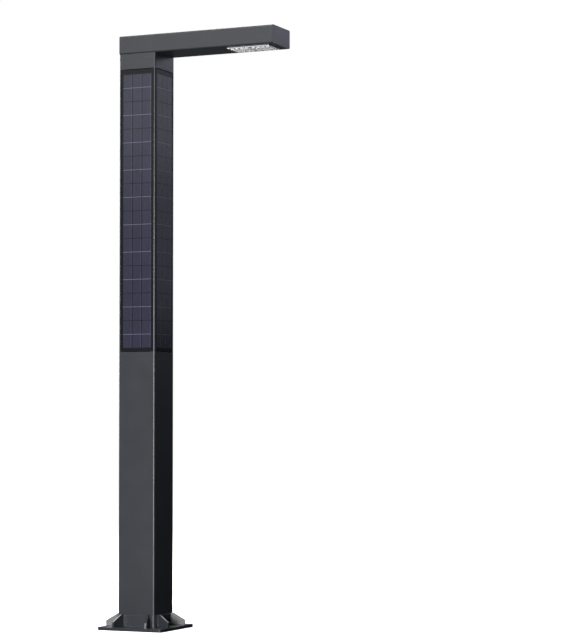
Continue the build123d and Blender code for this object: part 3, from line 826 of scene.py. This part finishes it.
acrylic = clear_acrylic()
stainless = drawn_metal("brushed_stainless_steel", "b2b4b6", "c9cacb", 0.26, 0.4,
                        (900.0, 900.0, 14.0))
aluminium = drawn_metal("extruded_aluminium", "c6c8ca", "d6d7d9", 0.3, 0.44,
                        (9.0, 700.0, 700.0))
board_white = white_solder_mask()
for side in ("inner", "outer"):
    low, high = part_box("led_lens_" + side)
    clear = piece("led_optic_" + side, optic(low, high), acrylic)
    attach(clear, "root")
    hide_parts("led_lens_" + side)

led_pitch = 0.025
led_steps = (-1.5, -0.5, 0.5, 1.5)
package_half = 0.0017
package_height = 0.0007
package_chamfer = 0.0001
chip_radius = 0.0013
chip_height = 0.0003
board_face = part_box("led_board")[0].z
led_places = []
for side in ("inner", "outer"):
    low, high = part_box("led_lens_" + side)
    middle = (low + high) / 2
    led_places += [(middle.x + i * led_pitch, middle.y + j * led_pitch, board_face)
                   for i in led_steps for j in led_steps]
package = bmesh.new()
bmesh.ops.create_cube(package, size=1.0, matrix=Matrix.Translation(
    (0, 0, -package_height / 2)) @ Matrix.Diagonal(
        (2 * package_half, 2 * package_half, package_height, 1.0)))
bmesh.ops.bevel(package, geom=package.edges[:], offset=package_chamfer, segments=1,
                affect="EDGES")
chip = bmesh.new()
turned(chip, ((0, -package_height - chip_height),
              (chip_radius * 0.7, -package_height - chip_height * 0.9),
              (chip_radius, -package_height), (0, -package_height)),
       Matrix.Identity(4), segments=12)
for made in (copied("led_packages", package, led_places, board_white),
             copied("led_chips", chip, led_places, led_phosphor())):
    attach(made, "root")
dress(board_white, "led_board")
dress(rubber, "led_gasket")
dress(aluminium, "led_heat_sink")

screw_radius = 0.002
screw_point = 0.0005
head_radius = 0.0038
head_height = 0.0024
crown_radius = 0.0026
crown_fall = 0.0007
dome_height = 0.0014
socket_half = 0.00125
socket_depth = 0.0013
low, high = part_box("led_screws")
socket_floor = low.z + socket_depth
head_back = low.z + head_height
screw = bmesh.new()
turned(screw, ((0, socket_floor), (socket_half, socket_floor, 6), (socket_half, low.z, 6),
               (crown_radius, low.z), (head_radius * 0.93, low.z + crown_fall),
               (head_radius, low.z + dome_height), (head_radius, head_back),
               (screw_radius, head_back), (screw_radius, high.z - screw_point),
               (screw_radius * 0.7, high.z), (0, high.z)), Matrix.Identity(4))
screw_inset = 0.006
screw_places = []
for side in ("inner", "outer"):
    lens_low, lens_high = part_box("led_lens_" + side)
    screw_places += [(x, y, 0) for x in (lens_low.x + screw_inset, lens_high.x - screw_inset)
                     for y in (lens_low.y + screw_inset, lens_high.y - screw_inset)]
optic_screws = copied("led_socket_screws", screw, screw_places, stainless)
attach(optic_screws, "root")
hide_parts("led_screws")
terminal_block_round = 0.001
eased("led_terminal_block", black_plastic, terminal_block_round)


# ---- equipment: battery pack, charge controller and LED driver on a plate in the column ----
# The plate is zinc-plated sheet on four stand-offs and carries a folded battery tray. The
# battery is three layers of round cells in a heat-shrunk sleeve, held by a webbing strap.
def shrink_sleeve():
    """Heat-shrunk PVC sleeve: glossy blue, drawn tight over the cells with fine wrinkles."""
    made, tree, shader = material("blue_heat_shrunk_pvc_sleeve", {
        "IOR": 1.53, "Roughness": 0.3})
    place = add(tree, "ShaderNodeTexCoord").outputs["Object"]
    drawn = add(tree, "ShaderNodeMapping", {"Vector": place, "Scale": (90.0, 90.0, 420.0)})
    wrinkles = add(tree, "ShaderNodeTexNoise", {"Vector": drawn.outputs[0], "Scale": 1.0,
                                                "Detail": 3.0})
    tone = add(tree, "ShaderNodeMix", {"Factor": wrinkles.outputs["Fac"],
                                       6: linear("1c4187"), 7: linear("2750a0")},
               data_type="RGBA")
    relief = add(tree, "ShaderNodeBump", {"Height": wrinkles.outputs["Fac"],
                                          "Strength": 0.3, "Distance": 0.0003})
    feed(tree, shader, {"Base Color": tone.outputs[2], "Normal": relief.outputs[0]})
    return made


def strap_webbing():
    """Woven polyester webbing: black, with a twill of threads 1.4 mm apart across the strap."""
    thread = 0.0014
    made, tree, shader = material("black_polyester_webbing", {
        "Roughness": 0.85, "IOR": 1.45, "Sheen Weight": 0.3, "Sheen Roughness": 0.5})
    spot = add(tree, "ShaderNodeUVMap", uv_map="strap")
    split = add(tree, "ShaderNodeSeparateXYZ", {0: spot.outputs[0]})
    twill = add(tree, "ShaderNodeMath", {0: split.outputs["X"], 1: split.outputs["Y"]},
                operation="ADD")
    phase = add(tree, "ShaderNodeMath", {0: twill.outputs[0], 1: 2 * math.pi / thread},
                operation="MULTIPLY")
    weft = add(tree, "ShaderNodeMath", {0: phase.outputs[0]}, operation="SINE")
    height = add(tree, "ShaderNodeMapRange", {"Value": weft.outputs[0], "From Min": -1.0})
    tone = add(tree, "ShaderNodeMix", {"Factor": height.outputs[0], 6: linear("101011"),
                                       7: linear("2b2b2e")}, data_type="RGBA")
    relief = add(tree, "ShaderNodeBump", {"Height": height.outputs[0], "Strength": 0.6,
                                          "Distance": 0.0004})
    feed(tree, shader, {"Base Color": tone.outputs[2], "Normal": relief.outputs[0]})
    return made


def slab(shape, low, high, ease, finish=0):
    """Add a block with rounded edges to a shape, between its lowest and highest corners."""
    low, high = Vector(low), Vector(high)
    part = bmesh.new()
    size = high - low
    bmesh.ops.create_cube(part, size=1.0, matrix=Matrix.Translation(
        (low + high) / 2) @ Matrix.Diagonal((size.x, size.y, size.z, 1.0)))
    bmesh.ops.bevel(part, geom=part.edges[:], offset=ease, segments=2, profile=0.5,
                    affect="EDGES")
    for face in part.faces:
        face.material_index = finish
    carrier = bpy.data.meshes.new("carrier")
    part.to_mesh(carrier)
    part.free()
    shape.from_mesh(carrier)
    bpy.data.meshes.remove(carrier)


dress(zinc, "equipment_plate", "plate_standoffs", "plate_screws", "battery_tray",
      "earth_stud", "door_frame")
brass = drawn_metal("machined_brass", "c29b54", "d8b56c", 0.24, 0.38, (900.0, 900.0, 900.0))
sleeve = shrink_sleeve()
fibre_board = moulded_plastic("grey_insulating_fibre_board", "a9a698", "b9b6a8", 0.8)
low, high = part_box("battery_pack")
cell_diameter = 0.022
cell_layers = 3
steps_per_cell = 8
groove = 0.0014
lip = 0.006
post_height = 0.006
case_top = high.z - post_height
layer = (case_top - low.z) / cell_layers
# The sleeve is drawn in between two cells of a row, and again between two layers of cells.
row_sharpness = 6
layer_rises = (0.0, 0.02, 0.06, 0.12, 0.3, 0.5, 0.7, 0.88, 0.94, 0.98)
layer_end = 0.1
outline = []
for start, end in (((low.x, low.y), (high.x, low.y)), ((high.x, low.y), (high.x, high.y)),
                   ((high.x, high.y), (low.x, high.y)), ((low.x, high.y), (low.x, low.y))):
    start, end = Vector(start), Vector(end)
    run = (end - start).length
    inward = Vector((-(end - start).y, (end - start).x)) / run
    count = round(run / cell_diameter)
    steps = count * steps_per_cell
    for step in range(steps):
        share = step / steps
        pinch = abs(2 * (share * count % 1) - 1) ** row_sharpness
        outline.append(start.lerp(end, share) + inward * groove * pinch)
levels = []
for row in range(cell_layers):
    for rise in layer_rises:
        neck = max(0.0, 1 - min(rise, 1 - rise) / layer_end)
        levels.append((low.z + (row + rise) * layer, groove * neck ** 2))
levels.append((case_top, groove))
pack = bmesh.new()
rings = []
pack_middle = (low + high) / 2
pack_size = high - low


def drawn_in(spot, inset):
    """A spot on the sleeve's outline, drawn in towards the pack's middle."""
    return [pack_middle[axis] + (spot[axis] - pack_middle[axis])
            * (1 - 2 * inset / pack_size[axis]) for axis in (0, 1)]


for level, inset in levels:
    rings.append([pack.verts.new((*drawn_in(spot, inset), level)) for spot in outline])
for lower, higher in zip(rings, rings[1:]):
    for step in range(len(outline)):
        after = (step + 1) % len(outline)
        pack.faces.new((lower[step], lower[after], higher[after], higher[step]))
pack.faces.new(list(reversed(rings[0])))
inner_ring = [pack.verts.new((*drawn_in(v.co, lip), case_top)) for v in rings[-1]]
for step in range(len(outline)):
    after = (step + 1) % len(outline)
    pack.faces.new((rings[-1][step], rings[-1][after], inner_ring[after], inner_ring[step]))
board_top = pack.faces.new(inner_ring)
board_top.material_index = 1
post_x = 0.01
post_half_gap = 0.02
post_sunk = 0.0005
post_chamfer = 0.0008
post_radius = 0.0052
collar_radius = 0.007
collar_height = 0.0018
for y in (-post_half_gap, post_half_gap):
    turned(pack, ((0, case_top - post_sunk), (collar_radius - post_chamfer, case_top - post_sunk),
                  (collar_radius, case_top + post_sunk),
                  (collar_radius, case_top + collar_height),
                  (post_radius, case_top + collar_height),
                  (post_radius, high.z - post_chamfer),
                  (post_radius - post_chamfer, high.z), (0, high.z)),
           Matrix.Translation((post_x, y, 0)), finish=2)
battery = piece("battery_cells_in_sleeve", pack, sleeve, fibre_board, brass)
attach(battery, "root")
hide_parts("battery_pack")

low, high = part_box("battery_strap")
strap_thickness = 0.0014
strap_round = 0.0055
strap_edge = 0.0004
anchor_depth = 0.004
# The weave on the strap's inner face is out of step with its outer face by 30 mm.
inner_weave_shift = 0.03
outer_sides = 3
front_x, back_x = low.x + strap_round, high.x - strap_round - anchor_depth
near_y, far_y = low.y + strap_round, high.y - strap_round
path = []
for centre, first in (((front_x, near_y), 180), ((back_x, near_y), 270), ((back_x, far_y), 0),
                      ((front_x, far_y), 90)):
    for step in range(7):
        angle = math.radians(first + 15 * step)
        out = Vector((math.cos(angle), math.sin(angle)))
        path.append((Vector(centre) + out * strap_round, out))
section = [(0, low.z + strap_edge), (0, high.z - strap_edge), (-strap_edge, high.z),
           (strap_edge - strap_thickness, high.z), (-strap_thickness, high.z - strap_edge),
           (-strap_thickness, low.z + strap_edge), (strap_edge - strap_thickness, low.z),
           (-strap_edge, low.z)]
strap = bmesh.new()
thread_map = strap.loops.layers.uv.new("strap")
rings = [[strap.verts.new((*(spot + out * depth), level)) for depth, level in section]
         for spot, out in path]
run = 0.0
for index, ring in enumerate(rings):
    after = rings[(index + 1) % len(rings)]
    length = (after[0].co - ring[0].co).length
    for corner in range(len(section)):
        following = (corner + 1) % len(section)
        shift = inner_weave_shift if corner >= outer_sides else 0.0
        face = strap.faces.new((ring[corner], after[corner], after[following],
                                ring[following]))
        for loop, along in zip(face.loops, (run, run + length, run + length, run)):
            loop[thread_map].uv = (along, loop.vert.co.z + shift)
    run += length
bmesh.ops.recalc_face_normals(strap, faces=strap.faces)
buckle_y = 0.012
buckle_back = low.x - 0.0002
bar_front = low.x - 0.0052
bar_near, bar_far = 0.015, 0.019
bar_round = 0.0012
rail_front = low.x - 0.0048
rail_half = 0.017
rail_width = 0.003
rail_round = 0.001
lever_front, lever_back = low.x - 0.0062, low.x - 0.0006
lever_near, lever_far = buckle_y - 0.010, buckle_y + 0.011
lever_inset = 0.0008
lever_round = 0.0016
pin_front, pin_back = low.x - 0.0042, low.x - 0.0012
pin_near, pin_far = buckle_y - 0.016, buckle_y - 0.009
pin_inset = 0.003
pin_round = 0.0008
buckle = bmesh.new()
for y0, y1 in ((-bar_far, -bar_near), (bar_near, bar_far)):
    slab(buckle, (bar_front, buckle_y + y0, low.z - rail_width),
         (buckle_back, buckle_y + y1, high.z + rail_width), bar_round)
for z0 in (low.z - rail_width, high.z):
    slab(buckle, (rail_front, buckle_y - rail_half, z0),
         (buckle_back, buckle_y + rail_half, z0 + rail_width), rail_round)
slab(buckle, (lever_front, lever_near, low.z + lever_inset),
     (lever_back, lever_far, high.z - lever_inset), lever_round)
slab(buckle, (pin_front, pin_near, low.z + pin_inset), (pin_back, pin_far, high.z - pin_inset),
     pin_round)
band = piece("battery_strap_webbing", strap, strap_webbing())
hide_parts("battery_strap")
for made in (band, piece("battery_strap_buckle", buckle, black_plastic)):
    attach(made, "root")

case_plastic = moulded_plastic("blue_grey_moulded_abs", "2f4257", "37506a", 0.5)
fascia = moulded_plastic("dark_grey_polycarbonate_fascia", "1e2023", "25272a", 0.34)
window = moulded_plastic("smoked_acrylic_window", "0b1114", "10181b", 0.08)
terminal_green = moulded_plastic("green_moulded_polyamide", "1d6a3b", "267a47", 0.45)
button_rubber = moulded_plastic("light_grey_silicone_rubber", "8e9296", "999da1", 0.6)
indicator = moulded_plastic("green_indicator_lens", "3fae5a", "5cc474", 0.2)
low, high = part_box("charge_controller")
case = bmesh.new()
case_round = 0.003
face_x = low.x + 0.003
case_back = high.x - 0.003
side_inset = 0.006
thin_round = 0.0006
foot_front = high.x - 0.004
foot_inset = 0.004
fascia_front, fascia_back = low.x + 0.001, face_x + 0.002
fascia_bottom, fascia_top = low.z + 0.027, high.z - 0.007
fascia_round = 0.001
window_front = low.x + 0.0004
window_inset = 0.014
window_bottom, window_top = low.z + 0.072, high.z - 0.018
button_bottom, button_top = low.z + 0.049, low.z + 0.057
button_half = 0.005
button_round = 0.0009
lamp_front = low.x + 0.0002
lamp_bottom, lamp_top = low.z + 0.0635, low.z + 0.0665
lamp_half = 0.0015
control_columns = [low.y + 0.0235 + column * 0.019 for column in range(3)]
slab(case, (face_x, low.y, low.z), (case_back, high.y, high.z), case_round)
slab(case, (foot_front, low.y + side_inset, low.z + foot_inset),
     (high.x, high.y - side_inset, high.z - foot_inset), thin_round, 0)
slab(case, (fascia_front, low.y + side_inset, fascia_bottom),
     (fascia_back, high.y - side_inset, fascia_top), fascia_round, 1)
slab(case, (window_front, low.y + window_inset, window_bottom),
     (face_x, high.y - window_inset, window_top), thin_round, 2)
for y in control_columns:
    slab(case, (low.x, y - button_half, button_bottom), (face_x, y + button_half, button_top),
         button_round, 4)
for y in control_columns:
    slab(case, (lamp_front, y - lamp_half, lamp_bottom), (face_x, y + lamp_half, lamp_top),
         thin_round, 5)
ways = 8
way = 0.0093
way_gap = 0.0003
way_front, way_back = low.x + 0.0004, face_x + 0.004
way_bottom, way_top = low.z + 0.0035, low.z + 0.0215
way_round = 0.0005
clamp_x, clamp_z = low.x + 0.0003, low.z + 0.015
clamp_radius = 0.0034
clamp_chamfer = 0.0003
clamp_height = 0.0006
cup_radius = 0.0022
cup_floor_radius = 0.002
cup_floor = 0.0001
first_way = (low.y + high.y) / 2 - ways * way / 2
for index in range(ways):
    y = first_way + index * way
    slab(case, (way_front, y + way_gap, way_bottom), (way_back, y + way - way_gap, way_top),
         way_round, 3)
    turned(case, ((0, 0), (clamp_radius - clamp_chamfer, 0), (clamp_radius, -clamp_chamfer),
                  (clamp_radius, clamp_height), (cup_radius, clamp_height),
                  (cup_floor_radius, cup_floor), (0, cup_floor)),
           Matrix.Translation((clamp_x, y + way / 2, clamp_z))
           @ Matrix.Rotation(-math.pi / 2, 4, "Y"), finish=6, segments=12)
controller = piece("charge_controller_case", case, case_plastic, fascia, window,
                   terminal_green, button_rubber, indicator, brass)
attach(controller, "root")
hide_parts("charge_controller")

driver_plastic = moulded_plastic("light_grey_moulded_polycarbonate", "989b9f", "a4a7ab", 0.45)
low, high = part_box("led_driver")
cap = 0.014
cap_proud = 0.0008
cap_lap = 0.001
cap_round = 0.0018
body_round = 0.0016
rib_half = 0.0012
rib_side = 0.003
rib_round = 0.0006
driver = bmesh.new()
slab(driver, (low.x + cap_proud, low.y + cap_proud, low.z + cap - cap_lap),
     (high.x, high.y - cap_proud, high.z - cap + cap_lap), body_round)
for z0, z1 in ((low.z, low.z + cap), (high.z - cap, high.z)):
    slab(driver, (low.x, low.y, z0), (high.x, high.y, z1), cap_round, 1)
ribs = 9
for index in range(ribs):
    z = low.z + cap + (index + 1) * (high.z - low.z - 2 * cap) / (ribs + 1)
    slab(driver, (low.x, low.y + rib_side, z - rib_half),
         (low.x + rib_side, high.y - rib_side, z + rib_half), rib_round)
led_driver = piece("led_driver_case", driver, driver_plastic, black_plastic)
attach(led_driver, "root")
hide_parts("led_driver")


# ---- wiring: battery leads, module leads and the lamp cable, with a grommet and clips ----
# PVC-sheathed copper leads, red and black at the battery. A split rubber grommet guards the
# hole into the arm, where three nylon clips hold the lamp cable above the floor.
def battery_lead_sheath():
    """PVC lead insulation: red on the positive side and black on the other, faintly ribbed."""
    made, tree, shader = material("red_and_black_pvc_insulation", {
        "Roughness": 0.4, "IOR": 1.53})
    place = add(tree, "ShaderNodeTexCoord").outputs["Object"]
    split = add(tree, "ShaderNodeSeparateXYZ", {0: place})
    positive = add(tree, "ShaderNodeMapRange", {"Value": split.outputs["Y"],
                                                "From Min": -0.0001, "From Max": 0.0001})
    smear = add(tree, "ShaderNodeTexNoise", {"Vector": place, "Scale": 300.0, "Detail": 2.0})
    red = add(tree, "ShaderNodeMix", {"Factor": smear.outputs["Fac"], 6: linear("a51a1c"),
                                      7: linear("b92528")}, data_type="RGBA")
    black = add(tree, "ShaderNodeMix", {"Factor": smear.outputs["Fac"], 6: linear("151517"),
                                        7: linear("1e1e21")}, data_type="RGBA")
    tone = add(tree, "ShaderNodeMix", {"Factor": positive.outputs[0], 6: black.outputs[2],
                                       7: red.outputs[2]}, data_type="RGBA")
    relief = add(tree, "ShaderNodeBump", {"Height": smear.outputs["Fac"], "Strength": 0.1,
                                          "Distance": 0.0002})
    feed(tree, shader, {"Base Color": tone.outputs[2], "Normal": relief.outputs[0]})
    return made


cable_sheath = moulded_plastic("black_pvc_cable_sheath", "18181a", "202023", 0.46)
nylon = moulded_plastic("natural_moulded_nylon", "cbc7ba", "d8d4c8", 0.5)
dress(battery_lead_sheath(), "battery_leads")
dress(cable_sheath, "pv_leads", "led_cable")
dress(nylon, "cable_clips")
dress(rubber, "cable_grommet")


# ---- service door: a flush steel door on a ledge frame, its seal, two hinges and a lock ----
# The door is cut from the tube's own wall and powder coated with it. It hangs on two
# stainless butt hinges screwed through their leaves, and shuts with a quarter-turn lock.
door_round = 0.0005
hardware_round = 0.00035
eased("service_door", paint, door_round)
dress(rubber, "door_gasket")
for node in ("hinge_leaves_fixed", "hinge_leaves_door", "lock_housing", "lock_plug"):
    eased(node, stainless, hardware_round)
dress(stainless, "hinge_pins")
dress(zinc, "lock_cam")

hinge_head_proud = 0.0011
hinge_head_radius = 0.0036
hinge_head_sunk = 0.0006
hinge_head_rim = 0.0002
hinge_socket_half = 0.0012
hinge_socket_floor = 0.0001
hinge_spacing = 0.22
leaf_thickness = 0.002
screw_rises = (0.010, 0.030, 0.050)
screw_to_edge = 0.0085
low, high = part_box("hinge_leaves_fixed")
leaf_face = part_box("column_tube")[0].x - leaf_thickness
door_leaf_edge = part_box("hinge_leaves_door")[0].y
screw_heights = [z + rise for z in (low.z, low.z + hinge_spacing) for rise in screw_rises]
for body, y in (("root", high.y - screw_to_edge), ("door", door_leaf_edge + screw_to_edge)):
    screw = bmesh.new()
    turned(screw, ((0, -hinge_head_sunk), (hinge_head_radius, -hinge_head_sunk),
                   (hinge_head_radius, hinge_head_rim),
                   (hinge_head_radius * 0.86, hinge_head_proud * 0.7),
                   (hinge_head_radius * 0.55, hinge_head_proud),
                   (hinge_socket_half, hinge_head_proud, 6),
                   (hinge_socket_half, hinge_socket_floor, 6), (0, hinge_socket_floor)),
           Matrix.Rotation(-math.pi / 2, 4, "Y"))
    hinge_screws = copied(f"hinge_screws_{body}", screw,
                          [(leaf_face, y, z) for z in screw_heights], stainless)
    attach(hinge_screws, body)
